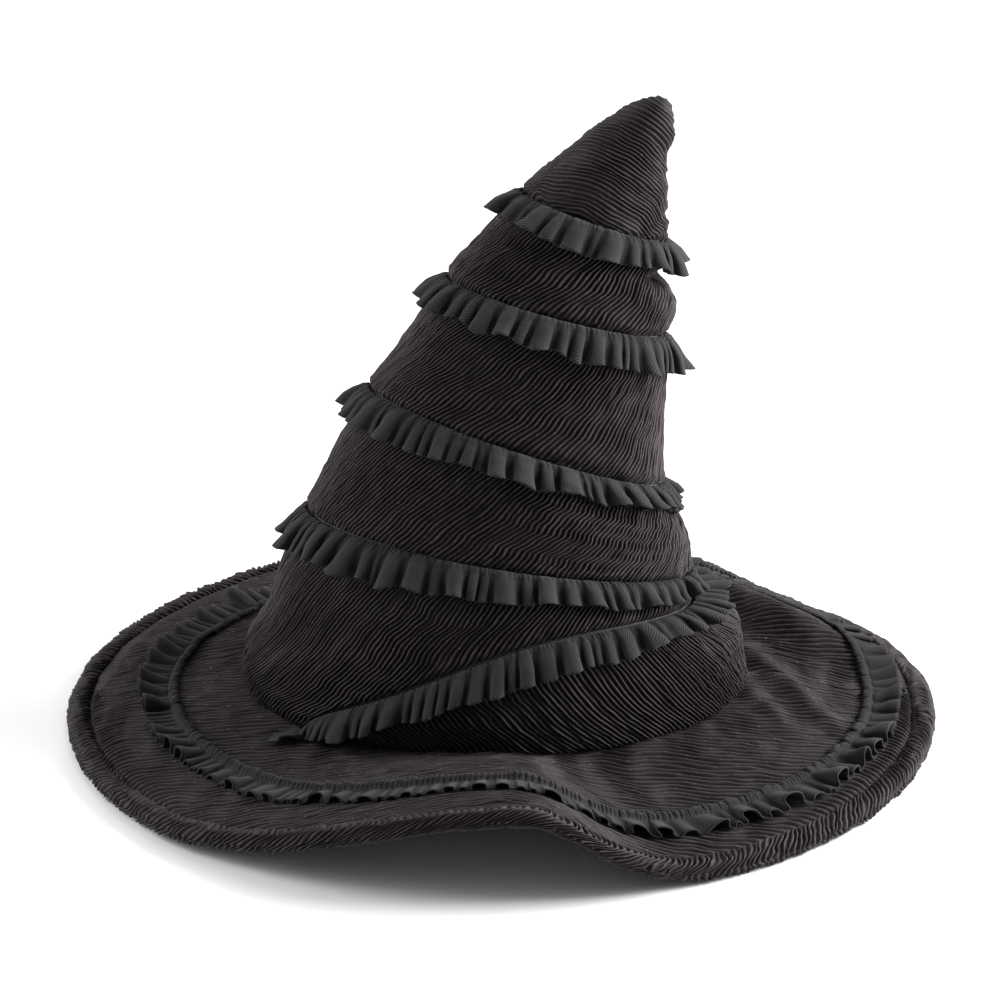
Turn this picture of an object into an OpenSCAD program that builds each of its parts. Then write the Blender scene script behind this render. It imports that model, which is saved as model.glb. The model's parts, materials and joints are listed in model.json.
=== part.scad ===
// Crooked witch hat in pleated cloth: six crown panels with five ruffles, on a wavy brim
// with a ruffle and a padded binding. Millimetres, +Z up, the brim rests on Z = 0.
// The front of the hat faces -Y and the tip leans towards +X.

/* [Brim] */
// Width of the brim over its binding
brim_w = 442; // [380:1:500]
// How far the front of the brim edge is lifted off the table
front_lift = 39; // [0:1:60]
// How far the back of the brim edge is lifted off the table
back_lift = 8; // [0:1:30]
// How far the back right of the brim edge is pulled in
back_tuck = 17; // [0:1:30]
// Height of the soft ridge across the back right of the brim
back_ridge = 12; // [0:1:20]
// Height of the top of the brim where the crown is sewn on
brim_top_z = 21; // [16:0.5:40]

/* [Crown] */
// Width of the crown at the brim seam, left to right
crown_w = 253; // [230:1:290]
// Height of the tip above the table
crown_h = 313; // [250:1:360]
// Reading of the lean: 1 as drawn, 0 for a straight cone
lean = 1; // [0:0.05:1.2]

/* [Head opening] */
// Inside diameter of the sweatband
head_d = 190; // [180:0.5:200]
// Height of the sweatband
sweatband_h = 30; // [20:1:45]

/* [Cloth] */
// Thickness of the pleated cloth, crest to back
pleated_t = 1.6; // [1:0.1:3]
// Thickness of the foam in the crown
foam_t = 1.5; // [1:0.1:4]
// Thickness of the foam sheet in the brim
core_t = 2.5; // [1:0.1:5]
// Thickness of the plain cloths (lining and under cover)
lining_t = 0.9; // [0.5:0.1:2]
// Thickness of the ruffle cloth with its hems
ruffle_t = 1.2; // [0.8:0.1:2]
// Depth of a crown ruffle, seam to free edge
ruffle_w = 16; // [12:1:30]

/* [Hidden] */
clear = 0.5;                        // gap kept between layers of cloth
brim_r = brim_w / 2;
head_r = head_d / 2;
band_t = 2;                         // sweatband thickness
hole_r = head_r + band_t + 0.5;     // hole through the brim layers
wide = crown_w / 253;               // crown width against the drawn shape
tall = crown_h / 313;               // crown height against the drawn shape
seam_a = 128.5 * wide;              // half width of the flat ground under the crown seam
seam_b = 105 * wide;                // half depth of the flat ground under the crown seam
binding_t = 2;                      // cloth and wadding of the binding
binding_in = 12;                    // how far the binding reaches in from the edge
layer_in = 5;                       // the flat layers stop this far inside the edge
under_z = pleated_t + 0.2 + core_t + 0.2 + lining_t; // brim layers, top to underside
edge_z = under_z + 0.3 + binding_t - 0.56; // top of the brim at an edge on the table
wire_r = 1.2;
turns = 48;                         // steps round the crown
// Directions of the loops round the brim, closer together over the lifted front.
brim_dirs = concat(
    [for (f = [-180 : 6 : -132]) f],
    [for (f = [-128 : 4 : -52]) f],
    [for (f = [-46 : 6 : 174]) f]
);

// Crown shape, one row per level: share of the way up, centre x, y and z, half width,
// half depth, drop of the right side and drop of the back in degrees.
level = [
    [0.00, -2.0, 0.0, 21.3, 126.5, 104.0, 0, 0],      // brim seam
    [0.10, -3.0, 0.5, 45.0, 121.0, 104.0, 1, 2],
    [0.18, -1.0, 1.5, 70.0, 111.0, 94.0, 5, 6],
    [0.26, -0.5, 3.0, 92.0, 100.5, 83.0, 9, 9.5],     // ruffle 4
    [0.36, 4.5, 6.0, 120.0, 89.5, 75.0, 14.5, 11],
    [0.46, 8.0, 10.0, 148.0, 78.5, 66.0, 19, 12],     // ruffle 3
    [0.56, 18.5, 14.5, 183.0, 65.5, 57.0, 17, 11],
    [0.65, 27.5, 19.0, 213.0, 56.5, 49.0, 15.5, 10],  // ruffle 2
    [0.73, 38.0, 23.5, 237.0, 45.5, 41.0, 17, 9],
    [0.80, 46.0, 28.0, 257.0, 38.5, 34.0, 19.5, 9],   // ruffle 1
    [0.88, 58.5, 32.5, 281.0, 25.5, 23.5, 24, 9],
    [0.95, 70.5, 36.0, 299.5, 14.0, 12.5, 31, 9],
    [1.00, 81.0, 38.0, 311.0, 4.0, 4.0, 36, 9]        // tip
];
seam_1 = 0.80;
seam_2 = 0.65;
seam_3 = 0.46;
seam_4 = 0.26;
seam_5_top = 0.224;                 // highest reach of the steep lowest seam
seam_5_turn = 10;                   // direction of that highest point, degrees
seam_5_end = 147;                   // where it meets the brim seam, either side of it

function col(k, t) = lookup(t, [for (row = level) [row[0], row[k]]]);

// Height share of the steep lowest seam in direction f; nothing past its two ends.
function seam_5(f) = seam_5_top * pow(
    max(0, (cos(f - seam_5_turn) - cos(seam_5_end)) / (1 - cos(seam_5_end))), 0.45);

// Point of the crown in direction f at height share t, moved out by off.
function crown_pt(f, t, off) =
    let (
        drop = col(6, t) * lean,
        back = col(7, t) * lean,
        a = (col(4, t)) * wide + off,
        b = (col(5, t)) * wide + off
    )
    [
        col(1, t) * lean + a * cos(f) * cos(drop),
        col(2, t) * lean + b * sin(f) * cos(back),
        brim_top_z + 0.3 + (col(3, t) - 21.3) * tall - a * cos(f) * sin(drop) - b * sin(f) * sin(back)
    ];

// Swell of a panel between its seams, u from 0 to 1.
function swell(u, amount) = amount * sin(180 * u);

// Smooth bump of height 1, d degrees from its middle.
function wrap(d) = d - 360 * round(d / 360);
function bump(d, width) = exp(-pow(wrap(d) / width, 2));

// Brim edge: how far out and how high in direction f.
function edge_r(f) = brim_r - back_tuck * bump(f - 42, 18);
function front(f) = front_lift * bump(f + 88, wrap(f + 88) > 0 ? 13 : 30);
function back(f) = back_lift * bump(f - 90, 30);
// Soft ridge across the back right of the brim, in direction f at radius r.
function ridge(f, r) = back_ridge
    * exp(-pow((r * cos(f - 45) - 155) / 17, 2) - pow(wrap(f - 45) / 36, 4));
function seam_r(f) = seam_a * seam_b / sqrt(pow(seam_b * cos(f), 2) + pow(seam_a * sin(f), 2));

// Height of the top of the brim in direction f at radius r.
function brim_z(f, r) =
    let (
        v = max(0, (r - seam_r(f)) / (edge_r(f) - seam_r(f))),
        bend = 1.15 + 1.6 * bump(f - 42, 25)
    )
    brim_top_z + (edge_z - brim_top_z) * pow(v, bend)
        + (v > 0 ? (front(f) + back(f)) * pow(v, 0.6) + ridge(f, r) : 0);

function brim_pt(f, r, dz) = [r * cos(f), r * sin(f), brim_z(f, r) + dz];

// Solid through a row of loops with the same number of points each. Closed rows join the
// last loop to the first; open rows are capped at both ends. The second half of each loop
// (in a cup, the loops of its outside) is cut along the other diagonal, so that both faces
// of a sheet, and of the sheet next to it, have matching facets.
module skin(loops, closed = true, cup = false) {
    n = len(loops);
    m = len(loops[0]);
    side = [for (i = [0 : closed ? n - 1 : n - 2], j = [0 : m - 1], k = [0, 1])
        let (
            a = i * m + j,
            b = i * m + (j + 1) % m,
            c = ((i + 1) % n) * m + (j + 1) % m,
            d = ((i + 1) % n) * m + j,
            other = cup ? i < n / 2 - 1 : j >= m / 2
        )
        other ? (k == 0 ? [a, b, d] : [b, c, d]) : (k == 0 ? [a, b, c] : [a, c, d])];
    ends = closed ? [] : [
        [for (j = [m - 1 : -1 : 0]) j],
        [for (j = [0 : m - 1]) (n - 1) * m + j]
    ];
    polyhedron([for (loop = loops) each loop], concat(side, ends), convexity = 10);
}

function ring(t, off) = [for (i = [0 : turns - 1]) crown_pt(i * 360 / turns, t, off)];

// Levels of a band: its two ends and every row of the crown shape between them.
function levels(low, high) = concat(
    [low],
    [for (row = level) if (row[0] > low + 0.005 && row[0] < high - 0.005) row[0]],
    [high]
);

// Closed band of crown cloth between two levels, from an offset inwards.
module crown_band(low, high, out, thick, amount) {
    ts = levels(low, high);
    last = len(ts) - 1;
    section = [for (i = [0 : turns - 1])
        let (f = i * 360 / turns)
        concat(
            [for (t = ts) crown_pt(f, t, out + swell((t - low) / (high - low), amount))],
            [for (k = [last : -1 : 0])
                crown_pt(f, ts[k], out + swell((ts[k] - low) / (high - low), amount) - thick)]
        )];
    skin(section);
}

// Closed-topped cone of crown cloth from a level up, as thick at the top as roof allows.
module crown_cup(low, high, out, thick, roof) {
    outer = levels(low, high);
    inner = levels(low, high - roof);
    rows = concat(
        [for (k = [len(outer) - 1 : -1 : 0]) ring(outer[k], out)],
        [for (t = inner) ring(t, out - thick)]
    );
    skin(rows, closed = false, cup = true);
}

// Gathered strip hanging from a crown seam. Its depth follows the cloth below the seam, and
// where it would pass the brim it lies on it. face is 0 on its inside and 1 on its outside.
function ruffle_pt(f, t, s, folds, off, face) =
    let (
        depth = ruffle_w / 335 * (1.15 - 0.25 * t),
        want = t - s * depth,
        over = max(0, -want) * 335,
        wave = 2.2 * s * sin(f * folds)
    )
    crown_pt(f, max(want, 0.005 + 0.004 * face), 0.6 + 5 * s + wave + off + over + face * ruffle_t);

// Cross-section of that strip in direction f, standing out from the seam by off times s.
function ruffle_section(f, t, folds, off) = concat(
    [for (s = [0, 0.5, 1]) ruffle_pt(f, t - 0.002, s, folds, off * s, 0)],
    [for (s = [1, 0.5, 0]) ruffle_pt(f, t - 0.002, s, folds, off * s, 1)]
);

module crown_ruffle(t, folds) {
    color([0.20, 0.20, 0.21])
    skin([for (i = [0 : 3 * folds - 1]) ruffle_section(i * 120 / folds, t, folds, 0)]);
}

module crown_tip_panel() {
    color([0.10, 0.09, 0.09])
    crown_cup(seam_1 + 0.001, 1, 0, pleated_t, 0.012);
}

module crown_panel_2() {
    color([0.10, 0.09, 0.09])
    crown_band(seam_2 + 0.001, seam_1 - 0.001, 0, pleated_t, 0.8);
}

module crown_panel_3() {
    color([0.10, 0.09, 0.09])
    crown_band(seam_3 + 0.001, seam_2 - 0.001, 0, pleated_t, 0.8);
}

module crown_panel_4() {
    color([0.10, 0.09, 0.09])
    crown_band(seam_4 + 0.001, seam_3 - 0.001, 0, pleated_t, 1);
}

// Two levels of the crown shape lie between the steep seam and seam 4 where it is low.
module crown_panel_5() {
    section = [for (i = [0 : turns - 1])
        let (
            f = i * 360 / turns,
            low = max(seam_5(f) + 0.002, 0.003),
            ts = [low, max(low + 0.002, 0.10), max(low + 0.004, 0.18), seam_4 - 0.001]
        )
        concat(
            [for (t = ts) crown_pt(f, t, 0)],
            [for (k = [3 : -1 : 0]) crown_pt(f, ts[k], -pleated_t)]
        )];
    color([0.10, 0.09, 0.09])
    skin(section);
}

// The crescent under the steep seam starts and stops short of the two ends of that seam.
module crown_base_panel() {
    from = seam_5_turn - seam_5_end + 8;
    to = seam_5_turn + seam_5_end - 8;
    section = [for (i = [0 : turns])
        let (
            f = from + (to - from) * i / turns,
            high = seam_5(f) - 0.002,
            ts = [0.002, min(high - 0.004, 0.10), min(high - 0.002, 0.18), high]
        )
        concat(
            [for (t = ts) crown_pt(f, t, swell((t - 0.002) / high, 14 * high))],
            [for (k = [3 : -1 : 0])
                crown_pt(f, ts[k], swell((ts[k] - 0.002) / high, 14 * high) - pleated_t)]
        )];
    color([0.10, 0.09, 0.09])
    skin(section, closed = false);
}

module crown_ruffle_1() {
    crown_ruffle(seam_1, 20);
}

module crown_ruffle_2() {
    crown_ruffle(seam_2, 24);
}

module crown_ruffle_3() {
    crown_ruffle(seam_3, 30);
}

module crown_ruffle_4() {
    crown_ruffle(seam_4, 34);
}

module crown_ruffle_5() {
    folds = 34;
    steps = 80;
    from = seam_5_turn - seam_5_end + 4;
    to = seam_5_turn + seam_5_end - 4;
    section = [for (i = [0 : steps])
        let (f = from + (to - from) * i / steps)
        ruffle_section(f, seam_5(f), folds, 1.4)];
    color([0.20, 0.20, 0.21])
    skin(section, closed = false);
}

// Foam backing, cut in four bands that meet at the ruffle seams.
module crown_foam(low, high) {
    color([0.16, 0.16, 0.17])
    crown_band(low, high, -pleated_t - clear, foam_t, 0);
}

module crown_foam_base() {
    crown_foam(0.004, seam_4 - 0.001);
}

module crown_foam_lower() {
    crown_foam(seam_4 + 0.001, seam_3 - 0.001);
}

module crown_foam_upper() {
    crown_foam(seam_3 + 0.001, seam_2 - 0.001);
}

module crown_foam_tip() {
    color([0.16, 0.16, 0.17])
    crown_cup(seam_2 + 0.001, 0.98, -pleated_t - clear, foam_t, 0.015);
}

module crown_lining() {
    color([0.12, 0.12, 0.13])
    crown_cup(0.065, 0.935, -pleated_t - foam_t - 2 * clear, lining_t, 0.015);
}

module headsize_tape() {
    out = -pleated_t - foam_t - 2 * clear;
    section = [for (i = [0 : turns - 1])
        let (f = i * 360 / turns)
        [
            crown_pt(f, 0.004, out),
            crown_pt(f, 0.058, out),
            crown_pt(f, 0.058, out - 1),
            crown_pt(f, 0.004, out - 1)
        ]];
    color([0.14, 0.14, 0.14])
    skin(section);
}

module sweatband() {
    color([0.07, 0.07, 0.07])
    translate([0, 0, brim_top_z - under_z])
    difference() {
        cylinder(r = head_r + band_t, h = sweatband_h, $fn = 96);
        translate([0, 0, -1])
        cylinder(r = head_r, h = sweatband_h + 2, $fn = 96);
    }
}

// One flat layer of the brim between two depths below its top, from the head hole out.
module brim_layer(upper, lower) {
    share = [0, 0.2, 0.44, 0.72];
    section = [for (f = brim_dirs)
        let (
            near = seam_r(f),
            far = edge_r(f) - layer_in,
            outer = [edge_r(f) - binding_in, far],
            rs = concat([hole_r], [for (s = share) near + (far - near) * s], outer),
            last = len(rs) - 1
        )
        concat(
            [for (r = rs) brim_pt(f, r, lower)],
            [for (k = [last : -1 : 0]) brim_pt(f, rs[k], upper)]
        )];
    skin(section);
}

module brim_cover_top() {
    color([0.10, 0.09, 0.09])
    brim_layer(0, -pleated_t);
}

module brim_core() {
    color([0.16, 0.16, 0.17])
    brim_layer(-pleated_t - 0.2, -pleated_t - 0.2 - core_t);
}

module brim_cover_under() {
    color([0.08, 0.08, 0.08])
    brim_layer(-under_z + lining_t, -under_z);
}

module brim_edge_wire() {
    section = [for (f = brim_dirs)
        let (r = edge_r(f) - layer_in + 0.3 + wire_r, mid = brim_z(f, r) - under_z / 2)
        [for (k = [0 : 5])
            [
                (r + wire_r * cos(k * 60)) * cos(f),
                (r + wire_r * cos(k * 60)) * sin(f),
                mid + wire_r * sin(k * 60)
            ]]];
    color([0.45, 0.45, 0.47])
    skin(section);
}

// The binding wraps the brim edge: over the top, round the wire and back underneath.
module brim_binding() {
    gap = 0.4;
    section = [for (f = brim_dirs)
        let (e = edge_r(f))
        [
            brim_pt(f, e - binding_in, -under_z - gap),
            brim_pt(f, e - binding_in, -under_z - gap - 1.2),
            brim_pt(f, e - binding_in / 2, -under_z - gap - binding_t),
            brim_pt(f, e - 3, -under_z - gap - binding_t + 0.6),
            brim_pt(f, e, -under_z / 2),
            brim_pt(f, e - 3, gap + binding_t - 0.6),
            brim_pt(f, e - binding_in / 2, gap + binding_t + 0.6),
            brim_pt(f, e - binding_in, gap + 1.2),
            brim_pt(f, e - binding_in, gap),
            brim_pt(f, e - 3.5, gap),
            brim_pt(f, e - 1.6, -under_z / 2),
            brim_pt(f, e - 3.5, -under_z - gap)
        ]];
    color([0.10, 0.09, 0.09])
    skin(section);
}

// The brim ruffle: a narrow header inside its stitching and a deep frill outside.
function frill_r(f) =
    let (s = seam_r(f))
    s + (edge_r(f) - s) * (0.545 + 0.11 * cos(f + 20) + 0.12 * bump(f - 45, 30));

module brim_ruffle() {
    folds = 44;
    section = [for (i = [0 : 3 * folds - 1])
        let (f = i * 120 / folds, r = frill_r(f), wave = sin(f * folds))
        [
            brim_pt(f, r - 4, 1.6),
            brim_pt(f, r, 0.8),
            brim_pt(f, r + 17, 5 + 2.4 * wave),
            brim_pt(f, r + 17, 5 + 2.4 * wave + ruffle_t),
            brim_pt(f, r, 0.8 + ruffle_t),
            brim_pt(f, r - 4, 1.6 + ruffle_t)
        ]];
    color([0.20, 0.20, 0.21])
    skin(section);
}

crown_tip_panel();
crown_panel_2();
crown_panel_3();
crown_panel_4();
crown_panel_5();
crown_base_panel();
crown_ruffle_1();
crown_ruffle_2();
crown_ruffle_3();
crown_ruffle_4();
crown_ruffle_5();
crown_foam_base();
crown_foam_lower();
crown_foam_upper();
crown_foam_tip();
crown_lining();
headsize_tape();
sweatband();
brim_cover_top();
brim_core();
brim_cover_under();
brim_edge_wire();
brim_binding();
brim_ruffle();
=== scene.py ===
import json
import math

import bpy
import numpy as np
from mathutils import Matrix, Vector


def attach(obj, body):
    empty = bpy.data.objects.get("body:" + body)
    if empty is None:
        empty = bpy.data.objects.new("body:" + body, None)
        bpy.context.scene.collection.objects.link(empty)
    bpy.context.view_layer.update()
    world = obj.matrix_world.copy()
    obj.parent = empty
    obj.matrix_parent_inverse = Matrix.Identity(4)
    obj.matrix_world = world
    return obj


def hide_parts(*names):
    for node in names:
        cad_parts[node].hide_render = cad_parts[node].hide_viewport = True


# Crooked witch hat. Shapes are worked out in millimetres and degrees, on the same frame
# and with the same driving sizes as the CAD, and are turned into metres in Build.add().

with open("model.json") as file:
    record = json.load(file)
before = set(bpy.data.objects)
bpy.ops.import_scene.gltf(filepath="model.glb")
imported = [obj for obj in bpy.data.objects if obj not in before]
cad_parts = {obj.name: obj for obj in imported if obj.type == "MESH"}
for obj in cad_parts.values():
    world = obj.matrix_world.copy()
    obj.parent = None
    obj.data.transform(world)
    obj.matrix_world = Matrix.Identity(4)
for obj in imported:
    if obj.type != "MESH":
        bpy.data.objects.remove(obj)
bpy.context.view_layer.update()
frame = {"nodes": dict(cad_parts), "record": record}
MM = 0.001

# ---- sizes: those of the CAD, unless a comment says otherwise
BRIM_R = 221.0
FRONT_LIFT = 39.0
BACK_LIFT = 8.0
BACK_TUCK = 17.0
BACK_RIDGE = 12.0
BRIM_TOP = 21.0
EDGE_Z = 7.14
UNDER = 5.4
FLAT_A, FLAT_B = 128.5, 105.0
HOLE_R = 97.5
BAND_R, BAND_H = 95.0, 30.0
RUFFLE_W = 15.4        # depth of a crown ruffle's strip, a little less than in the CAD
RUFFLE_5_W = 12.8      # the lowest one is narrower
SLANT = 335.0          # length of the crown along its side, seam to tip
SEAMS = {1: 0.80, 2: 0.65, 3: 0.46, 4: 0.272}   # seam 4 is slightly higher than in the CAD
SEAM_5_TOP, SEAM_5_TURN, SEAM_5_END = 0.224, 10.0, 147.0

# Crown shape: share of the way up, centre x, y, z, half width, half depth, drop of the
# right side and drop of the back in degrees.
LEVELS = np.array([
    [0.00, -2.0, 0.0, 21.3, 126.5, 104.0, 0, 0],
    [0.10, -3.0, 0.5, 45.0, 121.0, 104.0, 1, 2],
    [0.18, -1.0, 1.5, 70.0, 111.0, 94.0, 5, 6],
    [0.26, -0.5, 3.0, 92.0, 100.5, 83.0, 9, 9.5],
    [0.36, 4.5, 6.0, 120.0, 89.5, 75.0, 14.5, 11],
    [0.46, 8.0, 10.0, 148.0, 78.5, 66.0, 19, 12],
    [0.56, 18.5, 14.5, 183.0, 65.5, 57.0, 17, 11],
    [0.65, 27.5, 19.0, 213.0, 56.5, 49.0, 15.5, 10],
    [0.73, 38.0, 23.5, 237.0, 45.5, 41.0, 17, 9],
    [0.80, 46.0, 28.0, 257.0, 38.5, 34.0, 19.5, 9],
    [0.88, 58.5, 32.5, 281.0, 25.5, 23.5, 24, 9],
    [0.95, 70.5, 36.0, 299.5, 14.0, 12.5, 31, 9],
    [1.00, 81.0, 38.0, 311.0, 4.0, 4.0, 36, 9],
])

# ---- cloth
CROWN_PITCH = 2.5      # one pleat
TIP_PITCH = 2.1
BASE_PITCH = 2.9
BRIM_PITCH = 3.4
ROLL_PITCH = 3.5
DEPTH = 0.70           # depth of a pleat, as a share of its pitch
PLEAT_AT = (0.0, 0.17, 0.34, 0.5, 0.66, 0.83)   # where one pleat is sampled
FULLNESS = 1.7         # cloth gathered into each length of a ruffle's seam
FRILL_W, HEADER_W = 15.0, 3.4   # brim ruffle, outside and inside its stitching
TIP_CUT_R = 74.0       # the tip is cut as half a disc of this radius
HOLE_A, HOLE_B = 121.0, 98.0    # half sizes of the hole in the brim's top cloth
ROLL_IN = 9.5          # the brim's top cloth stops this far inside the edge
LINING_GROW = -4.7     # from the crown's surface to the lining, and to the foam's two faces
FOAM_GROW = (-3.9, -4.4)
CORE_DROP = (-2.6, 1.4 - UNDER)   # from the brim's top face to the two faces of its core
TAPE_GROW, TAPE_T = -5.1, 0.8
TAPE_FROM, TAPE_TO = 0.006, 0.056   # height shares of the tape's two edges
TWILL_T = 0.75
BAND_T = 1.5
FLOOR_GAP = 0.25       # the edge roll stays this far above the floor


def cosd(d):
    return np.cos(np.radians(d))


def sind(d):
    return np.sin(np.radians(d))


def wrap(d):
    return d - 360.0 * np.round(d / 360.0)


def bump(d, width):
    return np.exp(-(wrap(d) / width) ** 2)


def ramp(x, low, high):
    """0 below low, 1 above high, smooth between."""
    u = np.clip((x - low) / (high - low), 0.0, 1.0)
    return u * u * (3.0 - 2.0 * u)


def noise(u, v, seed, period=0):
    """Smooth noise from -1 to 1, one cell a unit; u repeats after period cells."""
    u, v = np.broadcast_arrays(np.asarray(u, float), np.asarray(v, float))
    table = np.random.default_rng(seed).uniform(-1.0, 1.0, (257, 257))
    iu, iv = np.floor(u).astype(int), np.floor(v).astype(int)
    a, b = u - iu, v - iv
    a, b = a * a * (3 - 2 * a), b * b * (3 - 2 * b)
    span = period if period else 257

    def at(i, j):
        return table[np.mod(i, span) % 257, np.mod(j, 257)]

    low = at(iu, iv) * (1 - a) + at(iu + 1, iv) * a
    high = at(iu, iv + 1) * (1 - a) + at(iu + 1, iv + 1) * a
    return low * (1 - b) + high * b


def smooth_columns():
    """The crown shape's columns on a fine scale of t, as a smooth curve through the rows."""
    t = LEVELS[:, 0]
    fine = np.linspace(0.0, 1.0, 1001)
    k = np.clip(np.searchsorted(t, fine, side="right") - 1, 0, len(t) - 2)
    step = t[k + 1] - t[k]
    u = (fine - t[k]) / step
    columns = []
    for c in range(1, LEVELS.shape[1]):
        y = LEVELS[:, c]
        slope = np.gradient(y, t)
        columns.append(
            (2 * u**3 - 3 * u**2 + 1) * y[k] + (u**3 - 2 * u**2 + u) * step * slope[k]
            + (-2 * u**3 + 3 * u**2) * y[k + 1] + (u**3 - u**2) * step * slope[k + 1])
    return fine, columns


FINE_T, COLUMNS = smooth_columns()


def crown(f, t, grow=0.0):
    """Points of the crown in direction f at height share t, made wider by grow."""
    f, t, grow = np.broadcast_arrays(np.asarray(f, float), np.asarray(t, float), np.asarray(grow, float))
    cx, cy, cz, a, b, drop, back = [np.interp(t, FINE_T, c) for c in COLUMNS]
    top = np.clip((t - 0.965) / 0.035, 0.0, 1.0)
    close = np.sqrt(1.0 - top**2)
    a, b = (a + 1.2 * top + grow) * close, (b + 1.2 * top + grow) * close
    c, s = cosd(f), sind(f)
    drop, back = np.radians(drop), np.radians(back)
    return np.stack([
        cx + a * c * np.cos(drop),
        cy + b * s * np.cos(back),
        cz + 0.3 + 1.8 * top - a * c * np.sin(drop) - b * s * np.sin(back)], axis=-1)


def unit(v):
    return v / np.maximum(np.linalg.norm(v, axis=-1, keepdims=True), 1e-9)


def crown_out(f, t):
    """Unit vectors that point out of the crown."""
    t = np.clip(t, 0.002, 0.992)
    around = crown(f + 0.4, t) - crown(f - 0.4, t)
    up = crown(f, t + 0.002) - crown(f, t - 0.002)
    return unit(np.cross(around, up))


def distance_along(line):
    """How far along a line of points each one is."""
    return np.concatenate([[0.0], np.cumsum(np.linalg.norm(np.diff(line, axis=0), axis=1))])


def seam_5(f):
    end = math.cos(math.radians(SEAM_5_END))
    share = (cosd(f - SEAM_5_TURN) - end) / (1 - end)
    return SEAM_5_TOP * np.maximum(0.0, share) ** 0.45 + 0.016 * bump(f + 80, 38)


def edge_r(f):
    return BRIM_R - BACK_TUCK * bump(f - 42, 18) + 3.0 * bump(f + 134, 14)


def lift(f):
    width = np.where(wrap(f + 88) > 0, 13.0, 30.0)
    return FRONT_LIFT * bump(f + 88, width) + BACK_LIFT * bump(f - 90, 30)


def seam_r(f):
    c, s = cosd(f), sind(f)
    return FLAT_A * FLAT_B / np.sqrt((FLAT_B * c) ** 2 + (FLAT_A * s) ** 2)


# Soft folds in the brim: start, end, width and height.
BRIM_FOLDS = (
    ((122, 36), (170, -58), 8.0, 3.0),
    ((112, 14), (146, -66), 6.5, 1.9),
    ((-112, 35), (-196, 62), 9.0, 1.6),
)


def soft_fold(x, y, start, end, width, height):
    """A soft ridge along the line from start to end, fading out at both."""
    start, end = np.array(start), np.array(end)
    along = end - start
    length = np.hypot(*along)
    along = along / length
    s = ((x - start[0]) * along[0] + (y - start[1]) * along[1]) / length
    d = (x - start[0]) * along[1] - (y - start[1]) * along[0]
    return height * np.exp(-((d / width) ** 2)) * ramp(s, -0.15, 0.25) * (1.0 - ramp(s, 0.7, 1.15))


def brim_z(f, r):
    """Height of the top of the brim."""
    near = seam_r(f)
    v = np.maximum(0.0, (r - near) / (edge_r(f) - near))
    bend = 1.15 + 1.6 * bump(f - 42, 25)
    rise = ((v + 0.02) ** 0.6 - 0.02 ** 0.6) * 1.09
    rise = np.maximum(rise, 0.13 * bump(f + 96, 34) * ramp(r, near - 10.0, near + 4.0))
    x, y = r * cosd(f), r * sind(f)
    ridge = BACK_RIDGE * np.exp(
        -((r * cosd(f - 45) - 155) / 17) ** 2 - (wrap(f - 45) / 36) ** 4)
    folds = sum(soft_fold(x, y, *row) for row in BRIM_FOLDS)
    return BRIM_TOP + (EDGE_Z - BRIM_TOP) * v ** bend + lift(f) * rise + ridge + folds


def brim(x, y, dz=0.0):
    return np.stack([x, y, brim_z(np.degrees(np.arctan2(y, x)), np.hypot(x, y)) + dz], axis=-1)


def brim_polar(f, r, dz=0.0):
    c, s = cosd(f), sind(f)
    return np.stack(np.broadcast_arrays(r * c, r * s, brim_z(f, r) + dz), axis=-1)


# ---- meshes
def grid_faces(n, m, closed, first=0):
    """Quads of a grid of n columns with m points each, and each corner's column and row."""
    i, j = np.meshgrid(np.arange(n if closed else n - 1), np.arange(m - 1), indexing="ij")
    i, j = i.ravel(), j.ravel()
    ci = np.stack([i, i + 1, i + 1, i], axis=1)
    cj = np.stack([j, j, j + 1, j + 1], axis=1)
    return first + (ci % n) * m + cj, ci, cj


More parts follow.
